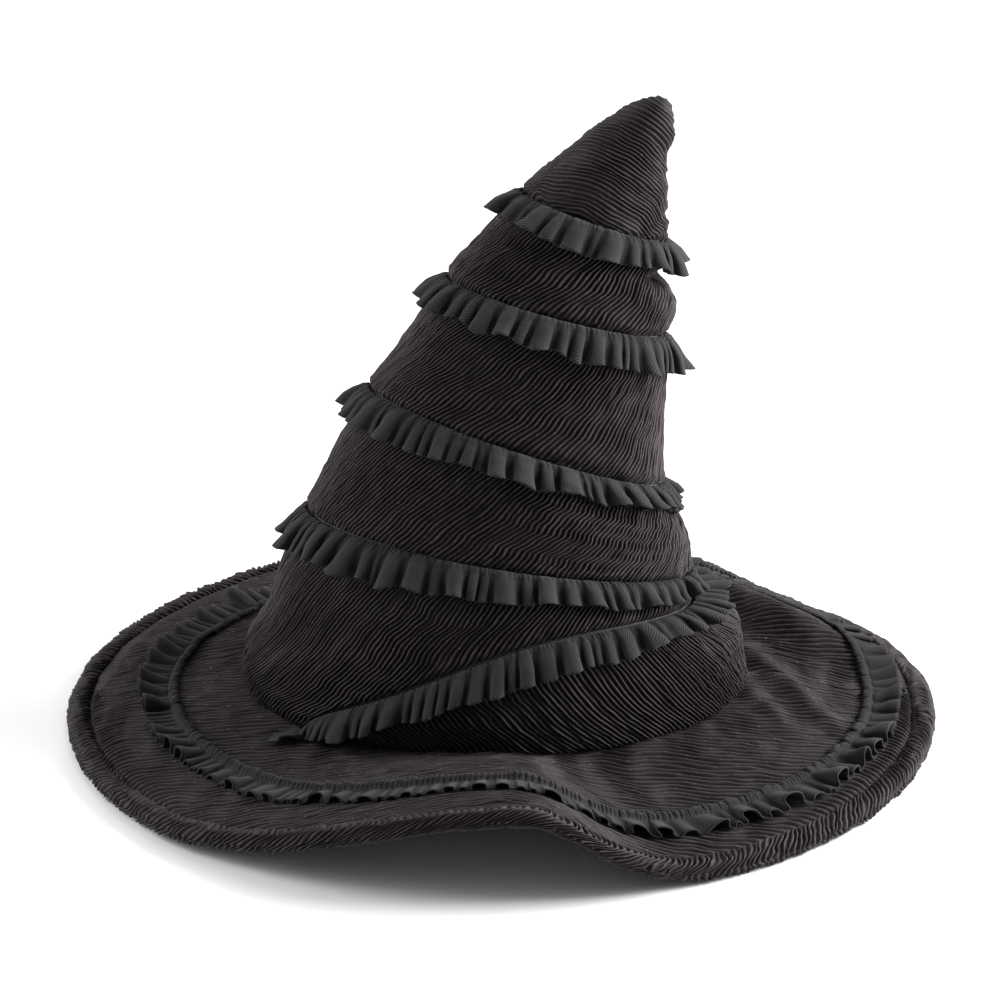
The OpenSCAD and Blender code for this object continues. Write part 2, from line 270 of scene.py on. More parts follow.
class Build:
    """Gathers grids of points into one mesh with cloth and bake coordinates."""

    def __init__(self):
        self.points, self.faces, self.cloth, self.bake, self.crest = [], [], [], [], []
        self.count = 0

    def grid(self, points, closed, cloth_u, cloth_v, box=(0, 0, 1, 1), crest=None, flip=False):
        """points is (n, m, 3). cloth_u and cloth_v are (n or n + 1, m), in millimetres."""
        n, m = points.shape[:2]
        faces, ci, cj = grid_faces(n, m, closed, self.count)
        wide = max(n if closed else n - 1, 1)
        bake = np.stack([
            box[0] + (box[2] - box[0]) * (0.002 + 0.996 * ci / wide),
            box[1] + (box[3] - box[1]) * (0.002 + 0.996 * cj / max(m - 1, 1))], axis=-1)
        cloth = np.stack([cloth_u[ci, cj], cloth_v[ci, cj]], axis=-1)
        if flip:
            faces, bake, cloth = faces[:, ::-1], bake[:, ::-1], cloth[:, ::-1]
        self.points.append(points.reshape(-1, 3))
        self.crest.append(np.full(n * m, 0.5) if crest is None else crest.ravel())
        self.faces.append(faces)
        self.cloth.append(cloth)
        self.bake.append(bake)
        self.count += n * m

    def join_rows(self, first, second, n, closed, flip=False):
        """Quads between two rows of n vertex numbers."""
        i = np.arange(n if closed else n - 1)
        k = (i + 1) % n
        faces = np.stack([first[i], first[k], second[k], second[i]], axis=1)
        if flip:
            faces = faces[:, ::-1]
        self.faces.append(faces)
        flat = np.zeros((len(faces), 4, 2))
        self.cloth.append(flat)
        self.bake.append(flat + 0.001)

    def add(self, name, material, slot, nodes):
        points = np.concatenate(self.points) * MM
        faces = np.concatenate(self.faces)
        mesh = bpy.data.meshes.new(name)
        mesh.vertices.add(len(points))
        mesh.vertices.foreach_set("co", points.ravel())
        mesh.loops.add(faces.size)
        mesh.loops.foreach_set("vertex_index", faces.ravel().astype(np.int32))
        mesh.polygons.add(len(faces))
        mesh.polygons.foreach_set("loop_start", np.arange(0, faces.size, 4, dtype=np.int32))
        for label, data in (("cloth", self.cloth), ("OFBake", self.bake)):
            layer = mesh.uv_layers.new(name=label)
            layer.data.foreach_set("uv", np.concatenate(data).ravel().astype(np.float32))
        # The attribute crest drives painted light in the materials: painted highlight on pleat crests,
        # painted shade in pleat and fold valleys.
        crest = mesh.attributes.new("crest", "FLOAT", "POINT")
        crest.data.foreach_set("value", np.concatenate(self.crest).astype(np.float32))
        mesh.update(calc_edges=True)
        mesh.validate()
        mesh.shade_smooth()
        mesh.materials.append(material)
        piece = bpy.data.objects.new(name, mesh)
        bpy.context.scene.collection.objects.link(piece)
        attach(piece, "root")
        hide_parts(*nodes)
        return piece


def normals_of(points, closed):
    """Unit normals of a grid, from its neighbours."""
    if closed:
        along = np.roll(points, -1, axis=0) - np.roll(points, 1, axis=0)
    else:
        along = np.gradient(points, axis=0)
    return unit(np.cross(along, np.gradient(points, axis=1)))


def add_shell(name, points, thickness, closed, cloth_u, cloth_v, material, slot, nodes, crest=None):
    """A sheet with two faces, thickness apart, closed round its edges."""
    n, m = points.shape[:2]
    out = normals_of(points, closed) * thickness / 2
    made = Build()
    made.grid(points + out, closed, cloth_u, cloth_v, (0, 0, 1, 0.5), crest)
    made.grid(points - out, closed, cloth_u, cloth_v, (0, 0.5, 1, 1), crest, flip=True)
    number = np.arange(n * m).reshape(n, m)
    made.join_rows(number[:, 0], number[:, 0] + n * m, n, closed, flip=True)
    made.join_rows(number[:, -1], number[:, -1] + n * m, n, closed)
    if not closed:
        made.join_rows(number[0], number[0] + n * m, m, False)
        made.join_rows(number[-1], number[-1] + n * m, m, False, flip=True)
    return made.add(name, material, slot, nodes)


def pleat_columns(count):
    """Positions of the samples of count pleats, in pleats, and the profile there."""
    at = np.array(PLEAT_AT)
    where = (np.arange(count)[:, None] + at[None, :]).ravel()
    profile = np.tile(np.abs(np.sin(np.pi * at)) ** 1.5, count)
    return where, profile


def pleat_relief(where, profile, along, seed, pitch, vary=1.0):
    """Height of the pleats over their middle, in millimetres, and their crest share."""
    index = np.floor(where)
    even = 0.38 * noise(index * 0.9, along / 9.0, seed)
    even = even + 0.22 * noise(index / 5.0, along / 17.0, seed + 1)
    even = 1.0 + vary * (even + 0.16 * noise(index * 1.7, along / 3.6, seed + 3))
    height = DEPTH * pitch * even * profile
    fine = 0.10 * noise(where * 1.7, along / 1.8, seed + 2)
    # The crest share sets the painted highlight on the crests and the painted shade in the valleys.
    return height - 0.55 * DEPTH * pitch + fine, np.clip(profile * (0.62 + 0.38 * even), 0, 1)


def zigzag(x):
    """A triangle wave from -1 to 1 with slightly rounded corners, one period a unit."""
    wave = np.sin(2 * np.pi * x)
    return np.arcsin(0.985 * wave) / 1.397


def wander(around, up, seed, period, size=1.0):
    """Sideways wander of the pleats, in millimetres; around and up in millimetres."""
    cells = max(1, round(period / 26.0))
    slow = noise(around / period * cells, up / 17.0, seed, cells)
    cells = max(1, round(period / 9.0))
    quick = noise(around / period * cells, up / 5.0, seed + 1, cells)
    cells = max(1, round(period / 4.0))
    close = noise(around / period * cells, up / 3.4, seed + 4, cells)
    cells = max(1, round(period / 52.0))
    place = noise(around / period * cells, up / 48.0, seed + 2, cells)
    other = noise(around / period * cells, up / 60.0, seed + 3, cells)
    kinks = 1.7 * zigzag(up / 21.0 + 0.7 * place) * ramp(other, -0.7, 0.3)
    small = 0.8 * zigzag(up / 7.5 + 1.3 * other) * ramp(place, -0.3, 0.4)
    return size * (1.5 * slow + 0.55 * quick + 0.40 * close + kinks + small)


def pleated_band(name, node, low, high, tilt, seed, material, girth, rows, swell=0.8, span=None,
                 pitch=CROWN_PITCH, ground=None, rough=1.0):
    """A band of pleated cloth between two seams; low and high give height shares for f.

    tilt is how far round the pleats climb, in degrees; span is (from, to) for an open band.
    Where ground is given, the pleats start from that share and the lower seam cuts them."""
    start, turn = (0.0, 360.0) if span is None else (span[0], span[1] - span[0])
    count = int(round(girth / pitch))
    where, profile = pleat_columns(count)
    if span is not None:
        where, profile = np.append(where, count), np.append(profile, 0.0)
    v = np.linspace(0.0, 1.0, rows + 1)
    around = (where / count * girth)[:, None] + 0 * v[None, :]
    base = start + turn * where[:, None] / count

    def foot(f):
        return low(f) if ground is None else ground + 0 * f

    def height_share(f):
        return foot(f) + (high(f) - foot(f)) * v[None, :]

    guess = base + tilt * (v[None, :] - 0.5)
    t = height_share(base if span is not None else guess)
    up, tall = (t - foot(base)) * SLANT, (high(base) - foot(base)) * SLANT
    sideways = wander(around, up, seed, girth, rough)
    share = up / np.maximum(tall, 1.0) - 0.5
    f = base + tilt * share * np.clip(tall / (0.2 * SLANT), 0.0, 1.2) + turn * sideways / girth
    if span is not None:
        keep = ramp(where / count, 0.0, 0.05) * (1.0 - ramp(where / count, 0.95, 1.0))
        f = base + (f - base) * keep[:, None]
    t = height_share(f)
    up = (t - foot(f)) * SLANT
    hidden = np.maximum(0.0, low(f) - t) * SLANT
    t = np.maximum(t, low(f))
    real = (high(f) - low(f)) * SLANT
    edge = np.minimum(t - low(f), high(f) - t) * SLANT
    height, crest = pleat_relief(where[:, None], profile[:, None], up, seed + 5, pitch)
    tuck = -1.7 * (1.0 - ramp(edge, 0.0, 2.4)) - np.minimum(hidden, 2.0)
    pucker = 0.9 * noise(around / 2.9, up / 2.0, seed + 9) * (1.0 - ramp(edge, 1.5, 7.5))
    cells = round(girth / 30.0)
    slow = noise(around / girth * cells, up / 24.0, seed + 8, cells)
    off = height * (0.55 + 0.45 * ramp(edge, 0.0, 3.0)) + tuck + pucker * ramp(real, 6.0, 16.0)
    off = off + 1.2 * slow * ramp(edge, 0.0, 6.0) + swell * np.sin(np.pi * v)[None, :] * ramp(real, 0.0, 30.0)
    off = off + waist(f, t) + pinch(f, t)
    points = crown(f, t) + off[..., None] * crown_out(f, t)
    points[..., 2] = np.maximum(points[..., 2], BRIM_TOP + 0.2)
    made = Build()
    u = np.concatenate([around, around[:1] + girth]) if span is None else around
    w = np.concatenate([up, up[:1]]) if span is None else up
    made.grid(points, span is None, u, w, crest=crest)
    piece = made.add(name, material, "pleated_cloth", [node])
    return piece


def pinch(f, t):
    """The pinched fold on the right under the highest ruffle, and the bulge below it."""
    crease = -8.5 * np.exp(-((t - 0.742) / 0.011) ** 2) * bump(f + 10, 26)
    rays = 1.5 * noise(f / 7.0, 0 * t + 0.5, 121) * np.exp(-((t - 0.722) / 0.026) ** 2) * bump(f + 12, 28)
    return crease + rays + 4.2 * np.exp(-((t - 0.696) / 0.024) ** 2) * bump(f + 10, 34)


def waist(f, t):
    """Where the crown draws in at its lowest ruffle on the right, and where its foot swells."""
    inward = -7.0 * np.exp(-((t - 0.216) / 0.040) ** 2) * bump(f - 4, 52)
    right = 2.2 * np.exp(-((t - 0.115) / 0.036) ** 2) * bump(f + 4, 50)
    left = 3.6 * np.exp(-((t - 0.03) / 0.05) ** 2) - 2.6 * np.exp(-((t - 0.135) / 0.03) ** 2)
    return inward + right + left * bump(f - 200, 46)


def sunk(f, t):
    """How far the layers under the crown's cloth go in with it, in millimetres."""
    return np.minimum(waist(f, t), 0.0) + np.minimum(pinch(f, t), 0.0)


def tip_panel(material):
    """The tip is half a disc of cloth rolled into a cone, so its pleats are chords."""
    radius = TIP_CUT_R
    count = int(radius / TIP_PITCH)
    where, profile = pleat_columns(count)
    where, profile = np.append(where, count - 0.02), np.append(profile, 0.1)
    d = (where * radius / count)[:, None]
    half = 60
    share = np.linspace(-1.0, 1.0, 2 * half + 1)[None, :]
    reach = np.sqrt(np.maximum(radius**2 - d**2, 0.3))
    w = share * reach
    shift = 1.3 * noise(w / 15.0, d / 11.0, 31) + 0.6 * noise(w / 6.0, d / 5.0, 32)
    shift = shift + 1.0 * zigzag(w / 17.0 + 0.5 * noise(w / 50.0, d / 30.0, 33)) * ramp(np.abs(w), 12.0, 40.0)
    shift = shift * ramp(reach - np.abs(w), 0.0, 8.0) * ramp(d, 1.0, 8.0)
    rho = np.minimum(np.hypot(w, d + shift), radius)
    psi = np.degrees(np.arctan2(w, np.maximum(d + shift, 1e-3)))
    f = -104.0 + 2.0 * psi
    t = 1.0 - (1.0 - SEAMS[1] - 0.001) * rho / radius
    height, crest = pleat_relief(where[:, None], profile[:, None], w, 35, TIP_PITCH)
    edge = radius - rho
    fine = ramp(rho, 0.0, 14.0)
    seam = 1.0 - ramp(90.0 - np.abs(psi), 0.0, 9.0)
    off = height * (0.3 + 0.7 * fine) * (0.55 + 0.45 * ramp(edge, 0.0, 3.0))
    off = off - 1.7 * (1.0 - ramp(edge, 0.0, 2.4)) + 0.8 * noise(w / 22.0, d / 18.0, 37) * fine
    right = bump(f + 6, 34)
    off = off + 1.5 * noise(rho / 5.0, w / 11.0, 38) * right * fine * ramp(edge, 0.0, 8.0)
    off = off + 0.9 * noise(rho / 2.6, w / 9.0, 39) * seam * fine
    off = off + 2.0 * ramp(t, 0.93, 0.985)
    points = crown(f, t) + off[..., None] * crown_out(f, t)
    made = Build()
    made.grid(points, False, w, d + 0 * w, crest=crest)
    piece = made.add("crown_tip", material, "pleated_cloth", ["crown_tip_panel"])
    return piece


# ---- ruffles
def fold_angle(p):
    """Direction of the cloth through one fold: a round crest and a tighter valley."""
    tight = 0.20
    rising = np.sin(0.5 * np.pi * p / tight)
    over = np.cos(np.pi * (p - tight) / (1 - 2 * tight))
    falling = -np.sin(0.5 * np.pi * (1 - p) / tight)
    return np.where(p < tight, rising, np.where(p > 1 - tight, falling, over))


def meander_tables():
    """Cross-section of one fold: how far along and out it is, for a swing of its direction."""
    swings = np.linspace(0.02, 2.1, 60)
    p = np.linspace(0.0, 1.0, 257)
    along, out = [], []
    for swing in swings:
        angle = swing * fold_angle(p)
        a = np.concatenate([[0.0], np.cumsum(np.cos((angle[1:] + angle[:-1]) / 2))])
        o = np.concatenate([[0.0], np.cumsum(np.sin((angle[1:] + angle[:-1]) / 2))])
        o = (o - p * o[-1]) / a[-1]
        along.append(a / a[-1])
        out.append(o - o.min())
    return swings, p, np.array(along), np.array(out)


SWINGS, FOLD_P, FOLD_ALONG, FOLD_OUT = meander_tables()


def fold(swing, p):
    """How far along its fold, and how far out in fold widths, a point of the cloth is."""
    k = np.clip((swing - SWINGS[0]) / (SWINGS[1] - SWINGS[0]), 0, len(SWINGS) - 1.001)
    q = np.clip(p, 0.0, 1.0) * (len(FOLD_P) - 1)
    k0, q0 = np.floor(k).astype(int), np.minimum(np.floor(q).astype(int), len(FOLD_P) - 2)
    a, b = k - k0, q - q0

    def look(table):
        low = table[k0, q0] * (1 - b) + table[k0, q0 + 1] * b
        high = table[k0 + 1, q0] * (1 - b) + table[k0 + 1, q0 + 1] * b
        return low * (1 - a) + high * a

    return look(FOLD_ALONG), look(FOLD_OUT)


def fold_plan(length, mean, seed, right=0.0, spread=0.58):
    """Ends of irregular folds along a strip, wider by the share right at its right side,
    and a random share for each."""
    rng = np.random.default_rng(seed)
    count = int(round(length / mean))
    widths = rng.uniform(1 - spread, 1 + spread, count)
    widths = widths * (1.0 + right * bump(np.arange(count) * 360.0 / count + 25.0, 60))
    ends = np.concatenate([[0.0], np.cumsum(widths)]) / widths.sum() * length
    return ends, rng.uniform(0.0, 1.0, count)


def gathered(length, mean, seed, samples, v, swing_at, closed, right=0.0):
    """Folds of a gathered strip: along (mm), out (mm) and cloth length for each point."""
    ends, luck = fold_plan(length, mean, seed, right)
    count = len(luck)
    p = np.linspace(0.0, 1.0, samples + 1)[:-1]
    index = np.repeat(np.arange(count), samples)
    p = np.tile(p, count)
    if not closed:
        index, p = np.append(index, count - 1), np.append(p, 1.0)
    width = (ends[1:] - ends[:-1])[index]
    swing = swing_at(luck[index][:, None], v[None, :])
    along, out = fold(swing, p[:, None] + 0 * swing)
    place = ends[index][:, None] + width[:, None] * along
    cloth = (ends[index] + width * p)[:, None] * FULLNESS + 0 * v[None, :]
    return place, out * width[:, None], cloth


def beads(along, pitch, seed):
    """A row of small gathers from 0 to 1, with narrow gaps between them."""
    return np.abs(np.sin(np.pi * (along / pitch + 0.8 * noise(along / 7.0, 0 * along, seed)))) ** 0.6


def crown_ruffle(number, seed, material, node, mean=9.0, span=None, flaps=()):
    """A gathered strip sewn in the seam, hanging over the band below it.

    flaps are places where it stands out: direction, width, extra flare, size of its folds."""
    seam = seam_5 if number == 5 else (lambda f: SEAMS[number] + 0.0 * f)
    closed = span is None
    turn = np.linspace(0.0, 360.0, 1441) if closed else np.linspace(span[0], span[1], 1441)
    line = crown(turn, np.maximum(seam(turn) - 0.002, 0.0), 0.5)
    run = distance_along(line)
    length = run[-1]
    v = np.array([0.0, 0.05, 0.1, 0.16, 0.23, 0.3, 0.38, 0.47, 0.56, 0.66, 0.76, 0.86, 0.94, 1.0])

    def swing_at(luck, v):
        return np.clip((1.08 + 0.62 * v ** 0.7) * (0.74 + 0.42 * luck), 0.0, 1.72)

    place, out, cloth = gathered(length, mean, seed, 22, v, swing_at, closed)
    lean = noise(place[:, :1] / 23.0, 0 * place[:, :1] + 2.5, seed + 6)
    place = place + 0.42 * lean * out * v[None, :]
    place = place + 2.2 * noise(place / 15.0, 0 * place + 6.5, seed + 9) * v[None, :] ** 1.5
    fall = 1.0 + 0.18 * noise(place / 11.0, 0 * place + 3.5, seed + 3)
    f = np.interp(np.mod(place, length) if closed else np.clip(place, 0, length), run, turn)
    strip = RUFFLE_5_W if number == 5 else RUFFLE_W
    depth = strip / SLANT * fall
    start = seam(f) - 0.002
    want = start - v[None, :] * depth
    swirl = noise(place / 14.0, 0 * place + 0.5, seed + 4)
    over = np.maximum(0.0, 0.004 - want) * SLANT
    t = np.maximum(want, 0.004)
    level = crown_out(f, t)
    lying = np.clip(level[..., 2], 0.0, 1.0)
    flare = (0.9 + 1.9 * swirl) * v[None, :] * (1.0 - 0.8 * lying)
    grow = 0.24 + 0.46 * v[None, :]
    for middle, width, extra, size in flaps:
        near = bump(f - middle, width)
        flare = flare + extra * near * v[None, :] ** 1.3
        grow = grow * (1.0 + (size - 1.0) * near)
    sewn = (1.0 - ramp(v, 0.0, 0.3))[None, :]
    gathers = 1.5 * (beads(place, 2.9, seed + 7) - 0.5) * sewn
    off = -1.5 * (1.0 - ramp(v, 0.0, 0.12))[None, :] + 0.6 + 2.0 * ramp(v, 0.0, 0.45)[None, :]
    off = off + flare + out * grow + gathers + waist(f, t)
    if number == 4:
        off = off - 4.0 * v[None, :] * bump(f - 14, 40)
    if number == 5:
        share = np.clip(want / np.maximum(seam(f), 0.01), 0.0, 1.0)
        off = off + 2.6 * np.sin(np.pi * share) * ramp(seam(f) * SLANT, 0.0, 30.0) + 1.0 * v[None, :]
    curl = 1.5 * noise(place / 5.0, 0 * place + 8.5, seed + 8) * ramp(v, 0.6, 1.0)[None, :]
    level[..., 2] *= np.exp(-over / 4.0)
    level = unit(level)
    points = crown(f, t) + (off + over + curl)[..., None] * level
    points[..., 2] -= 0.12 * (off - 0.5) * v[None, :] * np.exp(-over / 4.0)
    points = rest_on_brim(points, 0.9 + 0.6 * out * v[None, :])
    # shade is the share of painted light for the twill: low, giving painted shade, in the folds' valleys and
    # between the gathers along the seam.
    shade = np.clip(out / 5.5, 0.0, 1.0) * (1.0 - 0.6 * sewn) + 0.5 * sewn * (gathers + 0.5)
    return finish_ruffle(
        "crown_frill_%d" % number, points, closed, cloth, v, length, strip, material, node, shade)


def rest_on_brim(points, gap):
    """Lifts points that would be in the brim onto it."""
    x, y = points[..., 0], points[..., 1]
    f, r = np.degrees(np.arctan2(y, x)), np.hypot(x, y)
    floor = brim_z(f, r) + gap
    points[..., 2] = np.where(r > seam_r(f) - 3.0, np.maximum(points[..., 2], floor), points[..., 2])
    return points


def finish_ruffle(name, points, closed, cloth, v, length, wide, material, node, shade):
    """Makes a ruffle of a strip wide mm across, gathered onto a seam length mm long."""
    deep = (v[None, :] * wide) + 0 * cloth
    if closed:
        cloth = np.concatenate([cloth, cloth[:1] + FULLNESS * length])
        deep = np.concatenate([deep, deep[:1]])
    # shade is stored as the attribute crest, which sets the twill's painted shade.
    shade = np.clip(shade, 0.0, 1.0)
    piece = add_shell(name, points, TWILL_T, closed, cloth, deep, material, "twill", [node], shade)
    return piece


def frill_r(f):
    near = seam_r(f)
    share = 0.545 + 0.11 * cosd(f + 20) + 0.12 * bump(f - 45, 30)
    return near + (edge_r(f) - near) * share


def brim_ruffle(material):
    """The ruffle on the brim: a narrow header inside its stitching, a wide frill outside."""
    turn = np.linspace(0.0, 360.0, 1441)
    line = brim_polar(turn, frill_r(turn))
    run = distance_along(line)
    length = run[-1]
    v = np.array([-1.0, -0.8, -0.6, -0.4, -0.2, 0.0, 0.06, 0.13, 0.21, 0.3, 0.4, 0.52, 0.64, 0.76, 0.88, 1.0])

    def swing_at(luck, v):
        return np.clip((1.05 + 0.60 * np.abs(v) ** 0.6) * (0.74 + 0.44 * luck), 0.0, 1.75)

    place, out, cloth = gathered(length, 8.4, 71, 22, v, swing_at, True, 0.45)
    frill = np.maximum(v, 0.0)[None, :]
    header = np.maximum(-v, 0.0)[None, :]
    lean = noise(place[:, :1] / length * 46, 0 * place[:, :1] + 2.5, 76, 46)
    place = place + 0.7 * lean * out * frill
    f = np.interp(np.mod(place, length), run, turn)
    swirl = noise(place / length * 44, 0 * place + 0.5, 72, 44)
    stand = 0.66 + 0.50 * bump(f - 165, 46) - 0.22 * bump(f + 100, 40) - 0.50 * bump(f - 45, 32)
    reach = FRILL_W * frill * (1.0 + 0.16 * swirl) - HEADER_W * header
    tufts = beads(place, 2.6, 73)
    rise = 0.7 + frill * (0.8 + 1.6 * swirl) * stand
    rise = rise + out * stand * ((0.30 + 0.62 * frill) * (frill > 0) + 0.12 * (frill == 0))
    arch = np.sin(np.pi * np.minimum(header * 0.75 + 0.1 * (header > 0), 1.0))
    tufted = 1.0 + 2.4 * tufts + 0.8 * noise(place / 4.0, header * 2.0, 77)
    rise = rise + arch * tufted * (1.0 - 0.45 * bump(f + 5, 45))
    reach = reach - 1.8 * tufts * header
    points = brim_polar(f, frill_r(f) + reach, rise)
    # shade is the share of painted light for the twill: low, giving painted shade, in the frill's fold
    # valleys and between the header's tufts.
    shade = np.where(frill > 0, np.clip(out / 6.0, 0.0, 1.0), tufts)
    return finish_ruffle("brim_ruffle_frill", points, True, cloth, v, length, FRILL_W + HEADER_W,
                         material, "brim_ruffle", shade)


# ---- brim
def brim_cover(material):
    """The pleated top of the brim; its pleats run straight across it, parallel to X."""
    outer = BRIM_R - ROLL_IN - 0.1
    count = int(round(2 * outer / BRIM_PITCH))
    where, profile = pleat_columns(count)
    y = ((where / count) * 2 - 1) * outer
    y = np.clip(y, -outer + 0.05, outer - 0.05)
    reach = [reach_of(y, side) for side in (-1, 1)]
    hole = HOLE_A * np.sqrt(np.clip(1 - (y / HOLE_B) ** 2, 0.0, 1.0))
    half = 72
    share = np.linspace(0.0, 1.0, half + 1)[None, :]
    made = Build()
    for side, far in zip((-1, 1), reach):
        x = side * (hole[:, None] + (far - hole)[:, None] * share) - 2.0 * (hole > 0)[:, None] * (1 - share)
        f, r = np.degrees(np.arctan2(y[:, None], x)), np.hypot(x, y[:, None])
        edge = edge_r(f) - ROLL_IN - r
        inside = ramp(edge, 0.0, 9.0)
        shift = 2.2 * noise(x / 34.0, y[:, None] / 30.0, 51) + 0.9 * noise(x / 9.0, y[:, None] / 9.0, 52)
        place = noise(x / 60.0, y[:, None] / 55.0, 53)
        shift = shift + 1.3 * zigzag(x / 27.0 + 0.6 * place) * ramp(place, -0.6, 0.4)
        shift = shift + 5.0 * ramp(np.abs(x), 90.0, 215.0) * np.sign(-y[:, None])
        yy = y[:, None] + shift * inside
        height, crest = pleat_relief(where[:, None], profile[:, None], x, 54, BRIM_PITCH, 0.5)
        slow = 0.8 * noise(x / 36.0, y[:, None] / 32.0, 56)
        groove = -2.6 * (1.0 - ramp(edge, 0.0, 4.0))
        points = brim(x, yy, -0.3 + height * (0.6 + 0.4 * inside) + slow * inside + groove)
        u, w = x + 0 * yy, y[:, None] + 0 * x
        box = (0, 0, 0.5, 1) if side < 0 else (0.5, 0, 1, 1)
        made.grid(points.transpose(1, 0, 2), False, u.T, w.T, box, crest.T, flip=side > 0)
    piece = made.add("brim_top", material, "pleated_cloth", ["brim_cover_top"])
    return piece


def reach_of(y, side):
    """How far out the brim's top reaches at each y, on one side."""
    x = np.full_like(y, 100.0)
    for _ in range(14):
        f = np.degrees(np.arctan2(y, side * x))
        x = np.sqrt(np.maximum((edge_r(f) - ROLL_IN) ** 2 - y**2, 0.01))
    return x


def binding(material):
    """The padded edge: a roll of pleated cloth with its pleats on the slant across it."""
    turn = np.linspace(0.0, 360.0, 1441)
    line = brim_polar(turn, edge_r(turn))
    run = distance_along(line)
    length = run[-1]
    count = int(round(length / ROLL_PITCH))
    where, profile = pleat_columns(count)
    around = (where * length / count)[:, None]
    rows = 28
    q = np.linspace(0.0, 360.0, rows + 1)[None, :-1]
    rough = np.interp(np.mod(around, length), run, turn)
    herring = bump(rough - 318, 24)
    slanted = (6.5 + 9.0 * bump(rough - 272, 24)) * (1.0 - herring) * sind(q)
    twist = slanted - 8.0 * herring * cosd(q)
    twist = twist + 2.2 * noise(around / length * 90, q / 50.0, 61, 90)
    twist = twist + 1.4 * noise(around / length * 260, q / 30.0, 63, 260)
    f = np.interp(np.mod(around + twist, length), run, turn)
    height, crest = pleat_relief(where[:, None], profile[:, None], q / 8.0, 62, ROLL_PITCH)
    fat = 1.0 + 0.09 * noise(around / length * 70, 0 * q + 0.5, 66, 70)
    c, s = cosd(q), sind(q)
    wide = (5.3 * fat + height * 0.6) * np.sign(c) * np.abs(c) ** 0.85
    tall = (4.5 * fat + height * 0.7) * np.sign(s) * np.abs(s) ** 0.9
    r = edge_r(f) - 5.9 + wide
    z = brim_z(f, np.minimum(r, edge_r(f))) - 2.6 + tall
    z = np.maximum(z, FLOOR_GAP)
    points = np.stack([r * cosd(f), r * sind(f), z], axis=-1)
    points = np.concatenate([points, points[:, :1]], axis=1)
    crest = np.concatenate([crest + 0 * q, (crest + 0 * q)[:, :1]], axis=1)
    u = np.concatenate([around, around[:1] + length]) + np.zeros((1, rows + 1))
    w = np.zeros((len(around) + 1, 1)) + np.linspace(0, 31.0, rows + 1)[None, :]
    made = Build()
    made.grid(points, True, u, w, crest=crest)
    piece = made.add("brim_edge_roll", material, "pleated_cloth", ["brim_binding"])
    return piece


def brim_under(material):
    """The plain cloth under the brim, slightly puckered towards its two seams."""
    f = np.linspace(0.0, 360.0, 481)[:-1][:, None]
    share = np.linspace(0.0, 1.0, 41)[None, :]
    far = edge_r(f) - ROLL_IN + 1.5
    r = HOLE_R + 0.5 + (far - HOLE_R - 0.5) * share
    near_seams = 0.3 + ramp(share, 0.8, 1.0) + 1 - ramp(share, 0.0, 0.2)
    pucker = 0.35 * noise(f / 360 * 150, r / 30.0, 81, 150) * near_seams
    points = brim_polar(f, r, -UNDER + 0.3 + pucker)
    u = np.concatenate([f, f[:1] + 360]) * 2.6 + 0 * share
    w = np.concatenate([r, r[:1]])
    made = Build()
    made.grid(points, True, u, w, flip=True)
    piece = made.add("brim_underside", material, "lining", ["brim_cover_under"])
    return piece


def lining(material):
    """The loose lining in the crown, a little creased, closed at the top."""
    f = np.linspace(0.0, 360.0, 241)[:-1][:, None]
    t = np.concatenate([np.linspace(0.055, 0.93, 60), [0.94, 0.948, 0.953, 0.955]])[None, :]
    close = np.sqrt(np.clip(1 - (np.clip(t - 0.93, 0, 0.025) / 0.025) ** 2, 0, 1))
    crease = 0.5 * noise(f / 360 * 26, t * 9, 91, 26) - 0.25
    grow = LINING_GROW + crease
    wide = crown(f, t, grow) + sunk(f, t)[..., None] * crown_out(f, t)
    middle = wide.mean(axis=0, keepdims=True)
    points = middle + (wide - middle) * close[..., None]
    u = np.concatenate([f, f[:1] + 360]) * 1.8 + 0 * t
    w = np.zeros((len(f) + 1, 1)) + t * SLANT
    made = Build()
    made.grid(points, True, u, w, flip=True)
    piece = made.add("crown_inside_lining", material, "lining", ["crown_lining"])
    foot = crown(np.append(f, 360.0), 0.055, LINING_GROW)
    return piece


def section_loop(across, outer, inner):
    """A closed section of a layer: along its outer face and back along its inner one."""
    there = np.concatenate([across, across[::-1], across[:1]])[None, :]
    faces = np.concatenate([np.full(len(across), outer), np.full(len(across), inner), [outer]])[None, :]
    return there, faces


def add_foam(name, f, points, material, node):
    steps = np.cumsum(np.ones(points.shape[1]))[None, :]
    made = Build()
    made.grid(points, True, np.concatenate([f, f[:1] + 360]) + 0 * steps, np.zeros((len(f) + 1, 1)) + steps)
    return made.add(name, material, "foam", [node])


def foam_band(name, low, high, material, node):
    """One ring of the foam that holds the crown up, under its panels."""
    f = np.linspace(0.0, 360.0, 121)[:-1][:, None]
    t, grow = section_loop(np.linspace(low, high, 13), *FOAM_GROW)
    points = crown(f, t, grow) + sunk(f, t)[..., None] * crown_out(f, t)
    return add_foam(name, f, points, material, node)


def head_tape(material):
    """The tape that stays the seam between crown and brim, behind the sweatband."""
    f = np.linspace(0.0, 360.0, 241)[:-1][:, None]
    t = np.linspace(TAPE_FROM, TAPE_TO, 7)[None, :]
    points = crown(f, t, TAPE_GROW)
    around = float(np.sum(np.linalg.norm(points[:, 0] - np.roll(points[:, 0], 1, axis=0), axis=1)))
    tall = float(np.mean(np.linalg.norm(points[:, -1] - points[:, 0], axis=1)))
    u = np.concatenate([f, f[:1] + 360.0]) * around / 360.0 + 0 * t
    w = np.zeros((len(f) + 1, 1)) + np.linspace(0.0, tall, 7)[None, :]
    piece = add_shell("seam_tape", points, TAPE_T, True, u, w, material, "cotton_tape", ["headsize_tape"])
    return piece


